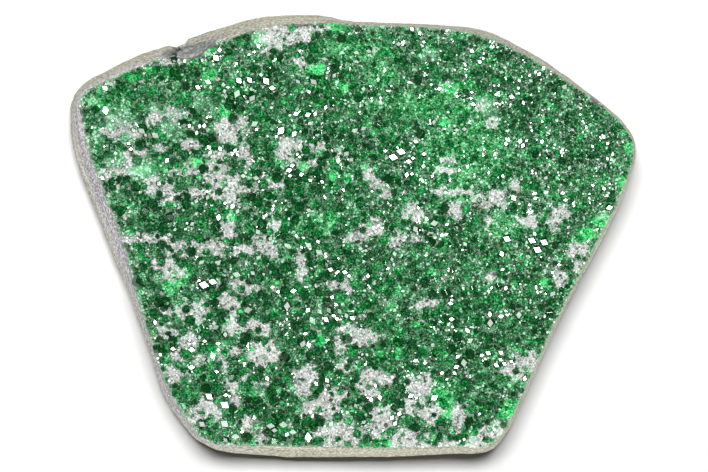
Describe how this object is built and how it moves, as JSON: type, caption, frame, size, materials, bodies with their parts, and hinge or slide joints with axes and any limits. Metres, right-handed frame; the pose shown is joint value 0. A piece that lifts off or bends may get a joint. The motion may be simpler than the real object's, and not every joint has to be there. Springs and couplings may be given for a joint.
{
  "type": "uvarovite garnet specimen",
  "caption": "Flat slab of grey host rock, its whole upper face covered by a sparkling crust of small green uvarovite garnet crystals.",
  "frame": {"origin": "middle of the bounding box of the flat sawn back, on the surface that the specimen lies on", "axes": "+Z out of the crystal face, +X along the long side, +Y along the short side"},
  "size_m": [0.0519, 0.0406, 0.0101],
  "materials": {
    "rock": "matte",
    "garnet": "polished"
  },
  "bodies": {
    "root": {"rock_slab": "rock", "garnet_crust": "garnet"}
  },
  "joints": []
}
